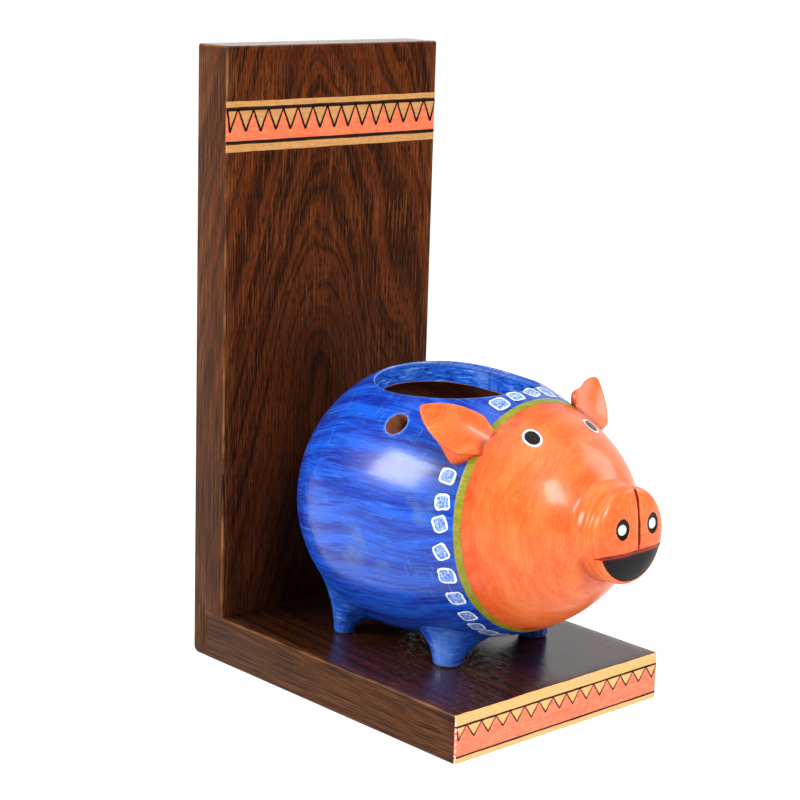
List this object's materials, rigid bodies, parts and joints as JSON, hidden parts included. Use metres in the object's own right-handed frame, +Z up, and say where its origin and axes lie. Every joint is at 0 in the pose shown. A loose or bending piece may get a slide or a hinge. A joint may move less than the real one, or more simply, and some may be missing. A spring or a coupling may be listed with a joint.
{
  "type": "pig pot bookend",
  "caption": "L-shaped wooden bookend with a hollow painted terracotta pig, open at the back, fixed on its base.",
  "frame": {"origin": "centre of the underside that the bookend stands on", "axes": "+Z up along the upright board, the pig looks along -Y, books stand against the +Y face, X runs across"},
  "size_m": [0.1026, 0.1719, 0.2286],
  "materials": {
    "wood": "dark stained hardwood under satin varnish",
    "blue_clay": "brushed blue paint on terracotta under satin varnish",
    "orange_clay": "brushed orange paint on terracotta under satin varnish",
    "steel": "plain screw steel",
    "epoxy": "set epoxy"
  },
  "bodies": {
    "root": {"base_board": "wood", "body_shell": "blue_clay", "ear_left": "orange_clay", "ear_right": "orange_clay", "foot_bond_front_left": "epoxy", "foot_bond_front_right": "epoxy", "foot_bond_rear_left": "epoxy", "foot_bond_rear_right": "epoxy", "head_shell": "orange_clay", "joint_screw_left": "steel", "joint_screw_right": "steel", "leg_front_left": "blue_clay", "leg_front_right": "blue_clay", "leg_rear_left": "blue_clay", "leg_rear_right": "blue_clay", "snout": "orange_clay", "tail": "blue_clay", "upright_board": "wood"}
  },
  "joints": []
}
